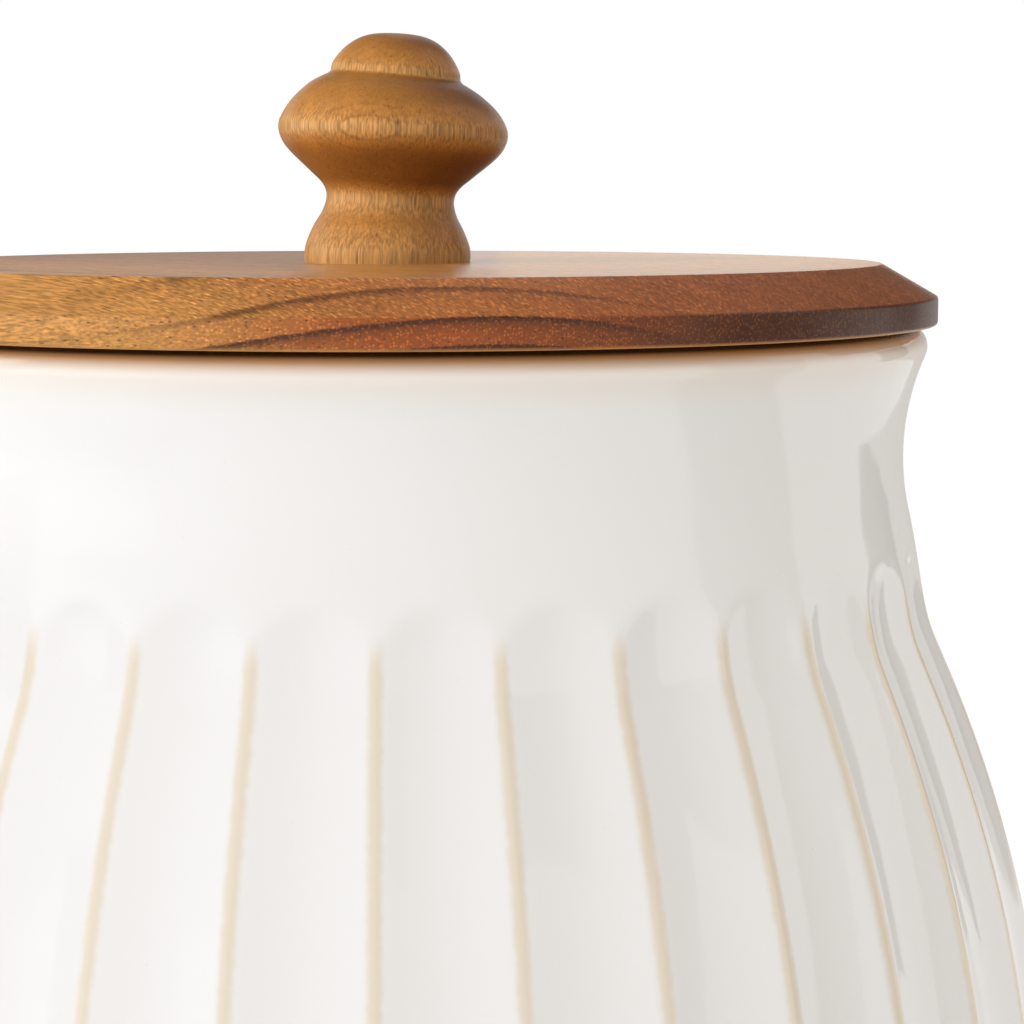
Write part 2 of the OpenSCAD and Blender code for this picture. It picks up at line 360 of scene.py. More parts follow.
def row_attribute(made, name, radii, values, turns):
    """Stores one value for each point of the outline on the points that were turned from it."""
    copies = [1 if r < ON_AXIS else len(turns) for r in radii]
    attribute = made.data.attributes.new(name, "FLOAT", "POINT")
    attribute.data.foreach_set("value", np.repeat(values, copies).astype(np.float32))


def note_fibre_cut(made, fibre):
    """Stores on each face how squarely it cuts the fibres, from 0 along them to 1 across them."""
    attribute = made.data.attributes.new("fibre_cut", "FLOAT", "FACE")
    attribute.data.foreach_set("value", [abs(face.normal.dot(fibre)) for face in made.data.polygons])


# Nodes

def fill(node, inputs):
    """Fills inputs of a node with values, full colours or other nodes' sockets."""
    for name, value in inputs.items():
        socket = node.inputs[name]
        if isinstance(value, bpy.types.NodeSocket):
            node.id_data.links.new(value, socket)
        else:
            socket.default_value = (*value, 1.0) if socket.type == "RGBA" else value


def put(tree, kind, inputs=None, **settings):
    """Adds a node, with its own settings, and fills its inputs."""
    node = tree.nodes.new(kind)
    for name, value in settings.items():
        setattr(node, name, value)
    fill(node, inputs or {})
    return node


def follow(kind, inputs, **settings):
    """Adds a node to the tree of the sockets that fill its inputs."""
    tree = next(value.id_data for value in inputs.values() if isinstance(value, bpy.types.NodeSocket))
    return put(tree, kind, inputs, **settings)


def calc(operation, *values):
    """The result of a Math node."""
    return follow("ShaderNodeMath", dict(enumerate(values)), operation=operation).outputs[0]


def plus(a, b):
    """The sum of two values."""
    return calc("ADD", a, b)


def minus(a, b):
    """The difference of two values."""
    return calc("SUBTRACT", a, b)


def times(first, *factors):
    """The product of two or more values."""
    for factor in factors:
        first = calc("MULTIPLY", first, factor)
    return first


def vector_calc(operation, *values):
    """The result of a Vector Math node."""
    return follow("ShaderNodeVectorMath", dict(enumerate(values)), operation=operation).outputs[0]


def scaled(vector, factor):
    """A vector or a colour, times one factor."""
    return follow("ShaderNodeVectorMath", {0: vector, "Scale": factor}, operation="SCALE").outputs[0]


def axes_of(vector):
    """The X, Y and Z of a vector."""
    return follow("ShaderNodeSeparateXYZ", {0: vector}).outputs


def off_axis(axes):
    """Distance from the Z axis."""
    return calc("SQRT", plus(times(axes[0], axes[0]), times(axes[1], axes[1])))


def ramp(value, low, high, start=0.0, end=1.0):
    """A value carried smoothly from one range to another."""
    inputs = {"Value": value, "From Min": low, "From Max": high, "To Min": start, "To Max": end}
    return follow("ShaderNodeMapRange", inputs, interpolation_type="SMOOTHSTEP").outputs[0]


def blend(factor, first, second):
    """A mix of two colours."""
    colours = {0: factor, 6: first, 7: second}
    return follow("ShaderNodeMix", colours, data_type="RGBA").outputs[2]


def stretched(vector, along):
    """Coordinates whose third axis is drawn out, so that a pattern runs along it."""
    return vector_calc("MULTIPLY", vector, (1, 1, along))


def noise(vector, scale, detail=2.0):
    """Soft noise from 0 to 1, with scale lumps to the metre."""
    return follow("ShaderNodeTexNoise", {"Vector": vector, "Scale": scale, "Detail": detail}).outputs[0]


def wobble(vector, scale, detail=2.0):
    """Soft noise from -0.5 to 0.5."""
    return minus(noise(vector, scale, detail), 0.5)


def grains(vector, scale, inner, outer, least):
    """Scattered round spots, one in each cell, stronger in some cells than in others. A cell whose own number
    is under least has none."""
    cells = follow("ShaderNodeTexVoronoi", {"Vector": vector, "Scale": scale})
    kept = follow("ShaderNodeSeparateColor", {0: cells.outputs["Color"]}).outputs[0]
    spot = ramp(cells.outputs["Distance"], inner, outer, 1.0, 0.0)
    return times(spot, ramp(kept, least, 0.9))


def plain_mesh(made, tree, values):
    """Runs a geometry tree on an object with values for its inputs, and keeps the result as a plain mesh."""
    modifier = made.modifiers.new(tree.name, "NODES")
    modifier.node_group = tree
    for item in tree.interface.items_tree:
        if item.item_type == "SOCKET" and item.in_out == "INPUT" and item.name in values:
            modifier[item.identifier] = values[item.name]
    depsgraph = bpy.context.evaluated_depsgraph_get()
    result = bpy.data.meshes.new_from_object(
        made.evaluated_get(depsgraph), preserve_all_data_layers=True, depsgraph=depsgraph)
    made.modifiers.remove(modifier)
    made.data = result


def new_group(name, kind, inputs, outputs):
    """A new node group with sockets named under their types, and its own input sockets."""
    tree = bpy.data.node_groups.new(name, kind)
    for in_out, sockets in (("INPUT", inputs), ("OUTPUT", outputs)):
        for socket, labels in sockets.items():
            for label in labels:
                tree.interface.new_socket(label, in_out=in_out, socket_type="NodeSocket" + socket)
    return tree, put(tree, "NodeGroupInput").outputs


def close_tree(geometry, material):
    """Ends a geometry tree with real geometry in one material."""
    real = follow("GeometryNodeRealizeInstances", {"Geometry": geometry})
    dressed = follow("GeometryNodeSetMaterial", {"Geometry": real.outputs[0], "Material": material})
    follow("NodeGroupOutput", {"Geometry": dressed.outputs[0]})


def point_axes(tree):
    """The X, Y and Z of each point."""
    return axes_of(put(tree, "GeometryNodeInputPosition").outputs[0])


def pulled_in(geometry, inset):
    """Moves each point towards the axis by its own inset."""
    axes = point_axes(geometry.id_data)
    level = follow("ShaderNodeCombineXYZ", {0: axes[0], 1: axes[1]}).outputs[0]
    push = scaled(vector_calc("NORMALIZE", level), times(inset, -1.0))
    return follow("GeometryNodeSetPosition", {"Geometry": geometry, "Offset": push}).outputs[0]


def named(tree, name):
    """An attribute of the points, by name."""
    node = put(tree, "GeometryNodeInputNamedAttribute", {"Name": name}, data_type="FLOAT")
    return node.outputs["Attribute"]


def flute_tree():
    """Hollows flutes into a turned wall, and notes how far each point lies from the nearest ridge."""
    tree, given = new_group("flutes", "GeometryNodeTree", {
        "Geometry": ("Geometry",),
        "Int": ("Count",),
        "Float": ("Crest Rounding", "Edge Softness"),
        "Material": ("Material",),
    }, {"Geometry": ("Geometry",)})
    place = point_axes(tree)
    turn = calc("ARCTAN2", place[0], times(place[1], -1.0))
    flute = calc("DIVIDE", times(turn, given["Count"]), math.tau)
    across = calc("ABSOLUTE", minus(flute, calc("ROUND", flute)))
    gap = minus(1.0, times(across, 2.0))
    rounding = given["Crest Rounding"]
    squares = plus(times(gap, gap), times(rounding, rounding))
    soft = minus(calc("SQRT", squares), rounding)
    hollow = times(soft, minus(2.0, soft))
    depth = named(tree, "flute_depth")
    cut = minus(times(hollow, depth), named(tree, "flute_lift"))
    inset = calc("SMOOTH_MAX", cut, 0.0, given["Edge Softness"])

    # Points without a flute are noted as a metre away from any ridge
    half = calc("DIVIDE", times(off_axis(place), math.pi), given["Count"])
    plain = calc("LESS_THAN", depth, 1e-6)
    noted = follow("GeometryNodeStoreNamedAttribute", {
        "Geometry": given["Geometry"],
        "Name": "crest_gap",
        "Value": plus(times(gap, half), plain),
    }, data_type="FLOAT", domain="POINT")
    close_tree(pulled_in(noted.outputs[0], inset), given["Material"])
    return tree


def thread_tree():
    """Cuts a screw thread into a turned shank."""
    tree, given = new_group("screw thread", "GeometryNodeTree", {
        "Geometry": ("Geometry",),
        "Float": ("Pitch", "Depth"),
        "Material": ("Material",),
    }, {"Geometry": ("Geometry",)})
    place = point_axes(tree)
    turn = calc("DIVIDE", calc("ARCTAN2", place[1], place[0]), math.tau)
    phase = calc("FRACT", minus(calc("DIVIDE", place[2], given["Pitch"]), turn))
    slope = calc("ABSOLUTE", minus(times(phase, 2.0), 1.0))
    groove = calc("MINIMUM", times(slope, 1.6), 1.0)
    inset = times(groove, given["Depth"], named(tree, "threaded"))
    close_tree(pulled_in(given["Geometry"], inset), given["Material"])
    return tree


# Materials

def new_material(name):
    """A material, its node tree and its shader."""
    material = bpy.data.materials.new(name)
    material.use_nodes = True
    tree = material.node_tree
    return material, tree, tree.nodes["Principled BSDF"]


def own_place(tree):
    """The Object coordinates of what a material covers."""
    return put(tree, "ShaderNodeTexCoord").outputs["Object"]


def noted_value(tree, name):
    """A value that the mesh carries, by name."""
    return put(tree, "ShaderNodeAttribute", attribute_name=name).outputs["Fac"]


def bump(height, distance):
    """Small relief for a shader's Normal input."""
    return follow("ShaderNodeBump", {"Height": height, "Distance": distance}).outputs[0]


def glaze_material(crock):
    """Glossy white glaze that breaks to honey on the ridges, with a bare rim and a bare clay foot. Under the
    rim the colours also hold a painted reflection of the lid and painted shade from the gap under it.
    """
    material, tree, shader = new_material("white glaze")
    place = own_place(tree)
    axes = axes_of(place)
    height = axes[2]
    rim_z, foot_h, half = crock.rim_z, crock.foot_h, crock.honey_half

    # Honey line along each ridge, with ragged sides, fading out at its upper end
    start_z = rim_z - crock.honey_drop
    fade = ramp(height, start_z - 0.002, start_z + 0.003, 0.9, 0.0)
    ragged = times(wobble(place, 700.0), 0.6 * half)
    gap = plus(noted_value(tree, "crest_gap"), ragged)
    line = ramp(gap, 0.25 * half, 1.4 * half, 1.0, 0.0)
    colour = blend(times(line, fade), crock.glaze, crock.honey)

    # Thin glaze under the rim, thinner glaze along it and the bare top: where each starts and is full,
    # measured down from the rim, and how much it covers. These bands are darker than the glaze alone, as a
    # painted reflection of the lid's wood and painted shade under the lid.
    for start, full, cover, tone in (
        (0.0085, 0.001, 0.45, crock.blush_and_lid_reflection),
        (0.0031, 0.0008, 1.0, crock.rim_clay_and_shade),
        (0.0015, 0.0003, 0.6, crock.rim_crown_clay_and_shade),
    ):
        band = ramp(height, rim_z - start, rim_z - full, 0.0, cover)
        colour = blend(band, colour, tone)

    # Painted shadow: a dark line on the outside of the rim, just under the lid, for the shade in the gap
    # between lid and rim
    outside = ramp(off_axis(axes), crock.neck_r + 0.0005, crock.neck_r + 0.0011)
    gap_shadow = ramp(height, rim_z - 0.00095, rim_z - 0.0005, 0.0, 0.9)
    colour = blend(times(outside, gap_shadow), colour, crock.rim_gap_shadow)

    # Pinholes
    specks = grains(place, 420.0, 0.03, 0.09, 0.72)
    colour = blend(times(specks, 0.12), colour, crock.clay)

    # Bare, sandy foot with a wavy edge
    edge = times(noise(place, 150.0), 0.0008)
    bare = ramp(plus(height, edge), foot_h, foot_h + 0.0012, 1.0, 0.0)
    sandy = times(noise(place, 2500.0, 4.0), bare)

    gloss = ramp(noise(place, 90.0), 0.3, 0.7, 0.06, 0.1)
    ripple = plus(noise(place, 55.0), times(noise(place, 420.0), 0.02))
    fill(shader, {
        "Base Color": blend(bare, colour, crock.clay),
        "Roughness": plus(gloss, times(bare, 0.75)),
        "Normal": bump(plus(ripple, sandy), 0.0002),
    })
    return material


def wood_group():
    """Heartwood, growth rings, fibres and pores, for wood whose heart is the Z axis and whose fibres
    follow it."""
    tree, given = new_group("turned wood", "ShaderNodeTree", {
        "Vector": ("Vector",),
        "Color": ("Pale", "Middle", "Dark"),
        "Float": ("Fibre Cut", *WOOD_SIZES),
    }, {"Color": ("Color",), "Float": ("Roughness", "Height")})
    place = given["Vector"]
    axes = axes_of(place)
    end_grain = given["Fibre Cut"]

    # Sapwood on one side and heartwood on the other, both darker where the fibres are cut across. The darkest
    # heartwood lies to the right, where it is also painted shade on the side away from the light
    drift = wobble(stretched(place, 0.2), 45.0)
    across = plus(axes[0], times(drift, 0.016))
    heart = ramp(across, given["Heart Start"], given["Heart Full"])
    deep_and_shade = ramp(across, given["Heart Full"], given["Heart End"])
    oiled = ramp(end_grain, 0.1, 0.6, 0.3, 1.0)
    colour = blend(times(heart, oiled), given["Pale"], given["Middle"])
    soaked_and_shade = times(ramp(end_grain, 0.4, 0.95, 0.25, 0.92), deep_and_shade)
    colour = blend(soaked_and_shade, colour, given["Dark"])

    # Number of each growth ring and place in its year, bent slowly and frayed along the fibres
    bend = wobble(stretched(place, 0.3), 16.0)
    fray = wobble(stretched(place, 0.1), 2600.0, 3.0)
    radius = plus(off_axis(axes), times(bend, given["Ring Bend"]))
    ring = calc("DIVIDE", minus(radius, given["Ring Start"]), given["Ring Spacing"])
    ring = plus(ring, times(fray, 0.16))
    number = calc("FLOOR", ring)
    year = follow("ShaderNodeTexWhiteNoise", {"W": number}, noise_dimensions="1D").outputs[0]
    phase = calc("FRACT", ring)

    # Rings show most in the heartwood, and inside a band of them
    further = calc("ABSOLUTE", minus(ring, given["Ring Middle"]))
    further = minus(further, given["Ring Reach"])
    shown = times(
        ramp(heart, 0.0, 0.6, 0.25, 1.0), ramp(deep_and_shade, 0.1, 0.75, 1.0, 0.35),
        given["Rings"], ramp(further, 0.0, 0.5, 1.0, 0.35))

    # Each is slowly darker, has a dark line, and is then pale again
    late = times(ramp(phase, 0.3, 0.9, 0.0, 0.55), shown, ramp(year, 0.1, 0.8, 0.2, 1.0))
    colour = blend(late, colour, given["Dark"])
    line = times(
        ramp(phase, RING_LINE - 0.21, RING_LINE - 0.01),
        ramp(phase, RING_LINE + 0.01, 1.0, 1.0, 0.0), ramp(year, 0.1, 0.8, 0.65, 0.9), shown)
    colour = blend(line, colour, given["Dark"])

    # Fibres, and a slow change of lustre
    fibre = noise(stretched(place, 0.035), 3600.0)
    lustre = noise(stretched(place, 0.25), 260.0)
    streak = minus(ramp(fibre, 0.3, 0.7, 0.62, 1.2), 1.0)
    streak = times(streak, ramp(end_grain, 0.2, 0.7, 1.0, 0.3))
    colour = scaled(colour, times(
        plus(streak, 1.0), ramp(lustre, 0.25, 0.75, 0.91, 1.08),
        ramp(end_grain, 0.5, 0.95, 1.0, 0.78)))

    # Pale flecks, more of them in the heartwood, and dark pores
    flecks = grains(vector_calc("MULTIPLY", place, (1, 0.8, 0.1)), 3600.0, 0.12, 0.6, 0.0)
    some = times(ramp(heart, 0.0, 0.6, 0.2, 1.0), given["Flecks"])
    haze = scaled(given["Pale"], 0.14)
    light = vector_calc("MULTIPLY_ADD", colour, (1.75, 1.8, 1.7), haze)
    colour = blend(times(flecks, some), colour, light)
    spacing = calc("DIVIDE", 1.0, given["Pore Spacing"])
    pores = grains(stretched(place, 0.12), spacing, 0.08, given["Pore Size"], 0.2)
    pores = times(pores, given["Pores"])

    follow("NodeGroupOutput", {
        "Color": blend(pores, colour, given["Dark"]),
        "Roughness": plus(ramp(fibre, 0.2, 0.8, 0.34, 0.42), times(end_grain, 0.12)),
        "Height": minus(times(fibre, 0.3), pores),
    })
    return tree


def wood_material(name, colours, fibre, rise, heart, grain, coat, lit_edge_z=None):
    """Oiled wood cut so that its fibres run one way and its growth rings rise another, round a heart at a
    point. A lower edge at a given height is painted pale, as a painted highlight of light from below."""
    material, tree, shader = new_material(name)
    place = own_place(tree)
    turn = Matrix((rise.cross(fibre), rise, fibre))
    moved = follow("ShaderNodeMapping", {
        "Vector": place,
        "Rotation": turn.to_euler(),
        "Location": -(turn @ heart),
    })
    wood = follow("ShaderNodeGroup", {
        "Vector": moved.outputs[0],
        "Fibre Cut": noted_value(tree, "fibre_cut"),
        "Pale": colours.pale,
        "Middle": colours.mid,
        "Dark": colours.dark,
        **grain,
    }, node_tree=shared_wood()).outputs
    colour = wood["Color"]
    # Painted highlight: the lower edge is painted pale where it catches light from below
    if lit_edge_z is not None:
        edge_highlight = ramp(axes_of(place)[2], lit_edge_z, lit_edge_z + 0.0005, 0.7, 0.0)
        colour = blend(edge_highlight, colour, colours.pale)
    fill(shader, {
        "Base Color": colour,
        "Roughness": wood["Roughness"],
        "Normal": bump(wood["Height"], 0.00006),
        "Specular IOR Level": 0.25,
        "Coat Weight": coat,
        "Coat Roughness": 0.2,
        "Coat IOR": 1.25,
    })
    return material


def steel_material(knob):
    """Bright screw steel with fine turning marks."""
    material, tree, shader = new_material("screw steel")
    marks = noise(stretched(own_place(tree), 12.0), 900.0, 3.0)
    fill(shader, {
        "Base Color": scaled(tuple(knob.steel), ramp(marks, 0.3, 0.7, 0.85, 1.05)),
        "Metallic": 1.0,
        "Roughness": ramp(marks, 0.3, 0.7, 0.24, 0.4),
        "Normal": bump(marks, 0.00002),
    })
    return material


def shared_wood():
    """The node group that all wood shares, made once."""
    return bpy.data.node_groups.get("turned wood") or wood_group()


def finished(made, material, body, node):
    """Gives a piece its material, hangs it on the body that it rides on, and hides the CAD node that it
    stands for.
    """
    if not made.data.materials:
        made.data.materials.append(material)
    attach(made, body)
    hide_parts(node)


# Crock

def upright_arc(r, z, end_r, end_z):
    """Centre and radius of an arc that starts at one point and is upright at another."""
    centre = (end_r ** 2 - r ** 2 - (z - end_z) ** 2) / (2 * (end_r - r))
    return centre, end_r - centre


def reach(radius, rise):
    """How far out from its centre an arc is, at a height over its centre."""
    return math.sqrt(radius ** 2 - rise ** 2)


def inner_arc(centre, radius, rise, inner_r):
    """Centre of a smaller arc that runs into a larger one from inside, its centre at a height over the larger
    one's, and the angle at which they meet."""
    return centre + reach(radius - inner_r, rise), math.asin(rise / (radius - inner_r))


def crock_outline(s):
    """Half of the crock, from the middle of its underside round the rim to the middle of its floor.
    Each row has radius, height, depth of the flutes and how far the flutes are lifted off the wall."""
    flute_z = s.rim_z - s.flute_drop
    ridge_c, ridge_r = upright_arc(s.neck_r + s.ridge_out, flute_z, s.belly_r, s.belly_z)
    hollow_c, hollow_r = upright_arc(
        s.neck_r + s.ridge_out - s.flute_top_depth, flute_z, s.belly_r - s.flute_depth, s.belly_z)
    neck_z = s.rim_z - s.neck_drop
    neck_c = s.neck_r + s.neck_curve_r
    past_slope = 0.05  # the neck's curve ends a little steeper than the shoulder
    shoulder_z = neck_z - s.neck_curve_r * math.sin(math.atan(s.shoulder_slope + past_slope))
    shoulder_bend = 0.0012  # softness of the bend from the shoulder to the belly
    belly_top_z = flute_z - 0.01  # below that bend
    arch_z = s.rim_z - s.arch_drop

    def ridge(z):
        """Radius of the belly, out to the ridges."""
        return ridge_c + reach(ridge_r, z - s.belly_z)

    def depth(z):
        """Depth of the flutes."""
        inner = hollow_c + reach(hollow_r, z - s.belly_z)
        return s.flute_top_depth if z > flute_z else ridge(z) - inner

    def neck(z):
        """Outer radius of the neck."""
        return neck_c - reach(s.neck_curve_r, z - neck_z)

    def wall(z):
        """Outer radius of belly, shoulder and neck."""
        if z > shoulder_z:
            return neck(z)
        if z < belly_top_z:
            return ridge(z)
        shoulder = neck(shoulder_z) + s.shoulder_slope * (shoulder_z - z)
        return smooth_max(shoulder, ridge(z), shoulder_bend)

    def plain(points):
        """Rows without a flute."""
        return [(r, z, 0.0, 1.0) for r, z in points]

    # Foot ring and the curve up to the belly
    curve_z = s.foot_h + s.foot_curve_r
    curve_c, meet = inner_arc(ridge_c, ridge_r, curve_z - s.belly_z, s.foot_curve_r)
    foot_r = curve_c - s.foot_inset
    rows = plain(rounded([
        (0, s.foot_h, 0),
        (foot_r - s.foot_w, s.foot_h, s.foot_edge_r),
        (foot_r - s.foot_w, 0, s.foot_edge_r),
        (foot_r, 0, s.foot_edge_r),
        (foot_r, s.foot_h, 0),
    ], 3))
    for r, z in arc((curve_c, curve_z), s.foot_curve_r, -math.pi / 2, meet, 16):
        rows.append((r, z, depth(z), ridge(z) - r))

    # Belly, with more rows where the flutes close
    fine_z = arch_z - 0.008
    belly = np.linspace(rows[-1][1], fine_z, 30)[1:]
    arch = np.linspace(fine_z, shoulder_z, 46)[1:]
    for z in (*belly, *arch):
        closing = depth(z) * (max(z - arch_z, 0) / s.arch_rise) ** 2
        rows.append((wall(z), z, depth(z), closing))

    # Neck, rim and the mouth
    roll_z = s.rim_z - s.rim_roll_r
    roll_c = neck_c - reach(s.neck_curve_r + s.rim_roll_r, roll_z - neck_z)
    roll_start = math.atan2(neck_z - roll_z, neck_c - roll_c)
    roll_join_z = roll_z + s.rim_roll_r * math.sin(roll_start)
    mouth_r = s.neck_r - s.neck_wall
    rows += plain((wall(z), z) for z in np.linspace(shoulder_z, roll_join_z, 22)[1:-1])
    rows += plain(arc((roll_c, roll_z), s.rim_roll_r, roll_start, math.pi / 2, 12))
    rows += plain(rounded([
        (roll_c, s.rim_z, 0),
        (mouth_r + s.rim_bevel, s.rim_z, 0.0006),
        (mouth_r, s.rim_z - s.rim_bevel, 0.001),
        (mouth_r, flute_z, 0),
    ], 4)[1:-1])

    # Inside, with an easy bend from the neck out to the belly
    bend_top_z, bend_low_z = flute_z + 0.01, flute_z - 0.016
    inner_r = hollow_r - s.belly_wall
    corner_z = s.foot_h + s.floor_t + s.floor_corner_r
    corner_c, meet = inner_arc(hollow_c, inner_r, corner_z - s.belly_z, s.floor_corner_r)
    for z in np.linspace(bend_top_z + 0.002, s.belly_z + inner_r * math.sin(meet), 26)[:-1]:
        free = smooth_step(bend_top_z, bend_low_z, z)
        belly_inside = hollow_c + reach(inner_r, z - s.belly_z)
        rows += plain([(mouth_r + (belly_inside - mouth_r) * free, z)])
    rows += plain(arc((corner_c, corner_z), s.floor_corner_r, meet, -math.pi / 2, 8))
    return rows + plain([(0, s.foot_h + s.floor_t)])


class ONIONKEEPER_OT_crock(bpy.types.Operator):
    """Make the glazed crock"""

    bl_idname = "onion_keeper.crock"
    bl_label = "Crock"

    def execute(self, context):
        s = context.scene.onion_keeper.crock
        radii, heights, depths, lifts = zip(*crock_outline(s))
        half_columns = 7
        across = [math.sin(math.pi / 2 * k / half_columns) for k in range(-half_columns, half_columns)]
        flute = math.tau / s.flute_count
        turns = [(i + t / 2) * flute - math.pi / 2 for i in range(s.flute_count) for t in across]
        made = revolve("glazed_crock", list(zip(radii, heights)), turns)
        row_attribute(made, "flute_depth", radii, depths, turns)
        row_attribute(made, "flute_lift", radii, lifts, turns)
        material = glaze_material(s)
        plain_mesh(made, flute_tree(), {
            "Count": s.flute_count,
            "Crest Rounding": s.crest_round,
            "Edge Softness": s.edge_soft,
            "Material": material,
        })
        finished(made, material, "crock", "crock")
        return {"FINISHED"}


# Lid

class ONIONKEEPER_OT_lid(bpy.types.Operator):
    """Make the bevelled lid board and the plug that centres it in the mouth"""

    bl_idname = "onion_keeper.lid"
    bl_label = "Lid board and plug"

    def execute(self, context):
        s = context.scene.onion_keeper.lid
        fibre = Vector((math.sin(s.fibre_turn), -math.cos(s.fibre_turn), 0))
        low, high = BOARD_LOW.z, BOARD_HIGH.z
        board = revolve("bevelled_lid", rounded([
            (s.hole_r, low, 0),
            (s.board_r, low, s.edge_r),
            (s.board_r, high - s.bevel_drop, s.crease_r),
            (s.board_r - s.bevel_run, high, s.crease_r),
            (s.hole_r, high, 0),
        ]), even_turns(256), loop=True)
        note_fibre_cut(board, fibre)
        heart = s.ring_side * UP.cross(fibre) + (low + s.ring_z - s.ring_r) * UP
        # Pale sapwood on the left and the darkest heartwood on the right; that dark right side is partly
        # painted shade
        grain = {
            "Heart Start": -0.03, "Heart Full": -0.009, "Heart End": 0.037,
            "Ring Spacing": s.ring_step, "Ring Start": s.ring_r - (3 + RING_LINE) * s.ring_step,
            "Ring Bend": 0.001, "Rings": 1.0, "Ring Middle": 3.0, "Ring Reach": 2.05,
            "Pore Spacing": 0.00045, "Pore Size": 0.34, "Pores": 0.75, "Flecks": 0.9,
        }
        material = wood_material("lid wood", s, fibre, UP, heart, grain, coat=0.45, lit_edge_z=low)
        finished(board, material, "lid", "lid_board")

        low, high = PLUG_LOW.z, PLUG_HIGH.z
        plug = revolve("plug_disc", rounded([
            (s.hole_r, low + s.sink, 0),
            (s.sink_r, low + s.sink, 0),
            (s.sink_r, low, 0.0003),
            (s.plug_r - s.plug_bevel, low, 0.0004),
            (s.plug_r, low + s.plug_bevel, 0.0004),
            (s.plug_r, high, 0),
            (s.hole_r, high, 0),
        ], 3), even_turns(192), loop=True)
        note_fibre_cut(plug, fibre)

        plug_further = 0.06  # the plug is cut further from the heart of its tree
        heart -= plug_further * UP
        grain = {**grain, "Ring Bend": 0.005, "Flecks": 0.5}
        material = wood_material("plug wood", s, fibre, UP, heart, grain, coat=0.2)
        finished(plug, material, "lid", "lid_plug")
        return {"FINISHED"}


class ONIONKEEPER_OT_knob(bpy.types.Operator):
    """Make the turned knob"""

    bl_idname = "onion_keeper.knob"
    bl_label = "Knob"

    def execute(self, context):
        s = context.scene.onion_keeper.knob
        tall = s.height / KNOB_TURNING[-1][0]
        wide = s.bulb_r / max(r for z, r in KNOB_TURNING)
        turning = [(wide * r, tall * z) for z, r in KNOB_TURNING]
        outline = [(0, 0)] + [(max(r, 0), z) for r, z in through(turning, 6)]
        made = revolve("turned_knob", outline, even_turns(128))
        for point in made.data.vertices:
            x, z = point.co.x, point.co.z
            crease = math.exp(-((z - s.crease_z) / s.crease_reach) ** 2)
            z -= x * math.tan(s.crease_tilt) * crease
            lean = s.lean * smooth_step(0, s.lean_z, point.co.z)
            point.co.x = x * math.cos(lean) + z * math.sin(lean)
            point.co.z = z * math.cos(lean) - x * math.sin(lean) + KNOB_LOW.z
        made.data.update()
        fibre = Vector((math.sin(s.lean), 0, math.cos(s.lean)))
        note_fibre_cut(made, fibre)

        # The heart of its tree lies behind the bulb
        behind = s.ring_r - s.bulb_r
        bulb_x = 0.0009  # the lean has moved the bulb to the right
        line_under = 0.27  # from the bulb's front in to the nearest ring line, as a share of a ring
        heart = Vector((
            bulb_x + behind * math.sin(s.ring_turn), behind * math.cos(s.ring_turn), KNOB_LOW.z))
        # The heart range darkens the knob steadily from left to right: heartwood, and painted shade on the
        # side away from the light, the end grain on its right darkest
        material = wood_material("knob wood", s, fibre, Vector((0, 1, 0)), heart, {
            "Heart Start": -0.068, "Heart Full": -0.03, "Heart End": -0.006,
            "Ring Spacing": s.ring_step, "Ring Start": s.ring_r - (line_under + RING_LINE) * s.ring_step,
            "Ring Bend": 0.0005, "Rings": 0.3, "Ring Middle": 0.4, "Ring Reach": 0.9,
            "Pore Spacing": 0.0006, "Pore Size": 0.34, "Pores": 0.55, "Flecks": 0.15,
        }, coat=0.2)
        finished(made, material, "lid", "knob")
        return {"FINISHED"}


class ONIONKEEPER_OT_screw(bpy.types.Operator):
    """Make the screw that holds the knob"""

    bl_idname = "onion_keeper.screw"
    bl_label = "Screw"

    def execute(self, context):
        s = context.scene.onion_keeper.knob
        low, high = SCREW_LOW.z, SCREW_HIGH.z
        seat = low + s.head_h
        plain_z, cut_z = seat + 0.004, seat + 0.006
        point_z = high - 2 * s.shank_r
        head = rounded([
            (0, low, 0),
            (s.head_r, low, 0.6 * s.head_h),
            (s.head_r, seat, 0.0002),
            (s.shank_r, seat, 0),
        ])
        thread = [(s.shank_r, z) for z in np.arange(seat + 0.0002, point_z, s.thread_pitch / 10)]
        outline = head + thread + [(0.5 * s.shank_r, high - 0.0006), (0, high)]
        turns = even_turns(40)
        made = revolve("lid_screw", outline, turns)
        threaded = [smooth_step(plain_z, cut_z, z) * (r > 0.9 * s.shank_r) for r, z in outline]
        row_attribute(made, "threaded", [r for r, z in outline], threaded, turns)
        material = steel_material(s)
        plain_mesh(made, thread_tree(), {
            "Pitch": s.thread_pitch,
            "Depth": s.thread_depth,
            "Material": material,
        })
        finished(made, material, "lid", "knob_screw")
        return {"FINISHED"}


# Stage

def add_lamp(name, kind, place, target, **settings):
    """A lamp that gloss doesn't show, turned to a target. Its place is a side, in degrees to the right of the
    front, a height in degrees and a distance."""
    lamp = bpy.data.lights.new(name, kind)
    for setting, value in settings.items():
        setattr(lamp, setting, value)
    made = added(name, lamp)
    side, rise = math.radians(place[0]), math.radians(place[1])
    back = Vector((math.sin(side) * math.cos(rise), -math.cos(side) * math.cos(rise), math.sin(rise)))
    made.location = target + back * place[2]
    made.rotation_euler = back.to_track_quat("Z", "Y").to_euler()
    made.visible_camera = made.visible_glossy = False


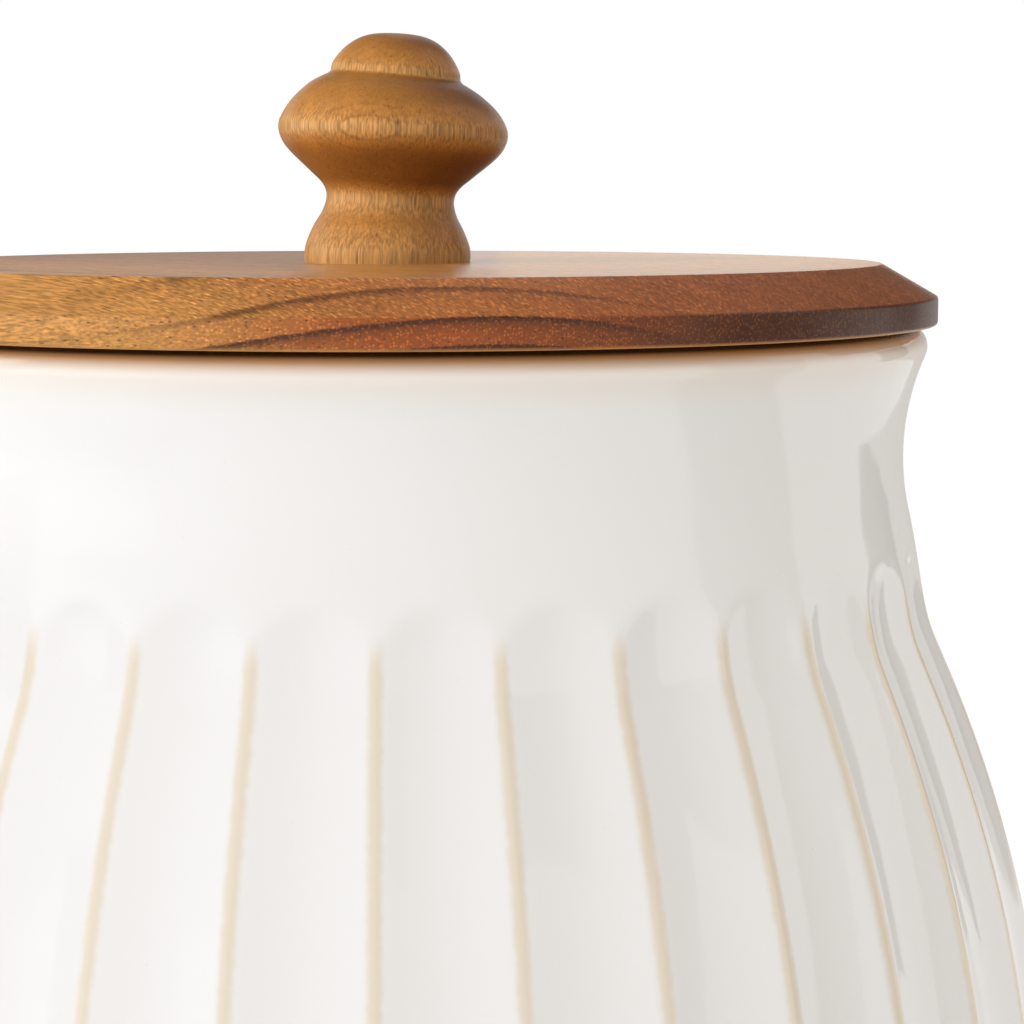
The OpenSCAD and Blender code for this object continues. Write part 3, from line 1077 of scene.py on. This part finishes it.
def mirror_card(name, material, distance, sides, heights, top_sides=None):
    """A curved card round the object that only gloss shows. Its sides and heights are in degrees, and it can
    have other sides at the top than at the bottom."""
    columns, rows = 12, 6
    low_sides = np.linspace(*sides, columns + 1)
    high_sides = np.linspace(*(top_sides or sides), columns + 1)
    points = []
    for low, high in zip(low_sides, high_sides):
        around = np.radians(np.linspace(low, high, rows + 1))
        for side, rise in zip(around, np.radians(np.linspace(*heights, rows + 1))):
            level = distance * math.cos(rise)
            z = STAGE_MIDDLE.z + distance * math.sin(rise)
            points.append((level * math.sin(side), -level * math.cos(side), z))
    starts = (column * (rows + 1) + row for column in range(columns) for row in range(rows))
    faces = [(i, i + 1, i + rows + 2, i + rows + 1) for i in starts]
    mesh = bpy.data.meshes.new(name)
    mesh.from_pydata(points, [], faces)
    mesh.materials.append(material)
    made = added(name, mesh)
    made.visible_camera = made.visible_diffuse = made.visible_transmission = made.visible_shadow = False


def surface_material(name):
    """A material without a shader, its node tree and its surface socket."""
    material, tree, shader = new_material(name)
    tree.nodes.remove(shader)
    return material, tree, tree.nodes["Material Output"].inputs["Surface"]


def card_material(name, colour, strength):
    """A plain card that shows the same shade from everywhere."""
    material, tree, surface = surface_material(name)
    shade = put(tree, "ShaderNodeEmission", {"Color": colour, "Strength": strength})
    tree.links.new(shade.outputs[0], surface)
    return material


def seen_directly(tree):
    """1 for what the camera sees, straight or in a mirror or through glass, and 0 for light on the object."""
    path = put(tree, "ShaderNodeLightPath").outputs
    direct = calc("MAXIMUM", path["Is Camera Ray"], path["Is Glossy Ray"])
    return calc("MAXIMUM", direct, path["Is Transmission Ray"])


def mixed_shader(factor, first, second):
    """A mix of two shader nodes."""
    return follow("ShaderNodeMixShader", {0: factor, 1: first.outputs[0], 2: second.outputs[0]}).outputs[0]


def white_world(ambient, colour):
    """A white background with plain light from all round."""
    world = bpy.data.worlds.new("white room")
    world.use_nodes = True
    tree = world.node_tree
    tree.nodes.clear()
    room = put(tree, "ShaderNodeBackground", {"Color": colour, "Strength": ambient})
    shown = put(tree, "ShaderNodeBackground", {"Color": WHITE, "Strength": 1.0})
    follow("ShaderNodeOutputWorld", {0: mixed_shader(seen_directly(tree), room, shown)})
    return world


def floor_material(colour):
    """A pale floor that keeps the shadow near the object and runs into the white background further out."""
    material, tree, surface = surface_material("pale floor")
    far = ramp(off_axis(axes_of(own_place(tree))), 0.2, 0.33)
    pale = put(tree, "ShaderNodeBsdfDiffuse", {"Color": colour})
    white = put(tree, "ShaderNodeEmission", {"Strength": 1.0})
    tree.links.new(mixed_shader(times(far, seen_directly(tree)), pale, white), surface)
    return material


class ONIONKEEPER_OT_stage(bpy.types.Operator):
    """Make the camera, the floor, the white room, the lights and the cards"""

    bl_idname = "onion_keeper.stage"
    bl_label = "Stage"

    def execute(self, context):
        scene = context.scene
        s = scene.onion_keeper.stage
        lens = bpy.data.cameras.new("camera")
        lens.lens = s.lens
        lens.clip_start = 0.01
        camera = added("camera", lens)
        camera.location = (-s.distance * math.sin(s.turn), -s.distance * math.cos(s.turn), s.camera_z)
        camera.rotation_euler = Euler((math.pi / 2 - s.pitch, 0, -s.turn - s.yaw))
        scene.camera = camera

        floor_r = 3.0
        floor = revolve("floor", [(floor_r, 0), (0, 0)], even_turns(64))
        floor.data.materials.append(floor_material(s.floor))
        scene.world = white_world(s.ambient, s.ambient_tint)
        add_lamp(
            "key", "AREA", (-54, 14, 1.1), STAGE_MIDDLE,
            shape="RECTANGLE", size=0.9, size_y=0.6, energy=s.key, color=s.key_tint)
        knob_middle = Vector((0, 0, KNOB_LOW.z + 0.016))
        spot_away, spot_r = 0.8, 0.034
        add_lamp(
            "knob_spot", "SPOT", (-72, 30, spot_away), knob_middle,
            spot_size=2 * math.atan(spot_r / spot_away), spot_blend=0.6, shadow_soft_size=0.06, energy=s.spot)

        shades = {
            "dark card": (s.card, 1.0),
            "grey card": (s.grey_card, 1.0),
            "pale card": (s.pale_card, 1.0),
            "warm card": (s.warm_card, s.warm_glow),
            "window": (WHITE, s.window),
            "knob window": (WHITE, s.knob_window),
        }
        for step in range(1, SHADE_STEPS + 1):
            shades[f"shade card {step}"] = (WHITE, s.ambient * (1 - SHADE_STEP * step))
        materials = {name: card_material(name, *shade) for name, shade in shades.items()}
        for name, shade, *place in CARDS:
            mirror_card(name, materials[shade], *place)
        scene.view_settings.view_transform = "Standard"
        return {"FINISHED"}


class ONIONKEEPER_PT_panel(bpy.types.Panel):
    """Buttons and settings for the onion keeper"""

    bl_idname = "ONIONKEEPER_PT_panel"
    bl_label = "Onion Keeper"
    bl_space_type = "VIEW_3D"
    bl_region_type = "UI"
    bl_category = "Onion Keeper"

    def draw(self, context):
        settings = context.scene.onion_keeper
        for operator in OPERATORS:
            self.layout.operator(operator.bl_idname)
        for group in (settings.crock, settings.lid, settings.knob, settings.stage):
            box = self.layout.box()
            box.label(text=group.bl_rna.description)
            for name in group.__annotations__:
                box.prop(group, name)


OPERATORS = (
    ONIONKEEPER_OT_stage,
    ONIONKEEPER_OT_crock,
    ONIONKEEPER_OT_lid,
    ONIONKEEPER_OT_knob,
    ONIONKEEPER_OT_screw,
)
CLASSES = (
    OnionKeeperCrock,
    OnionKeeperLid,
    OnionKeeperKnob,
    OnionKeeperStage,
    OnionKeeperSettings,
    *OPERATORS,
    ONIONKEEPER_PT_panel,
)


def register():
    for made in CLASSES:
        bpy.utils.register_class(made)
    bpy.types.Scene.onion_keeper = bpy.props.PointerProperty(type=OnionKeeperSettings)


def unregister():
    del bpy.types.Scene.onion_keeper
    for made in reversed(CLASSES):
        bpy.utils.unregister_class(made)


def main():
    register()
    bpy.ops.onion_keeper.stage()
    bpy.ops.onion_keeper.crock()
    bpy.ops.onion_keeper.lid()
    bpy.ops.onion_keeper.knob()
    bpy.ops.onion_keeper.screw()


if __name__ == "__main__":
    main()
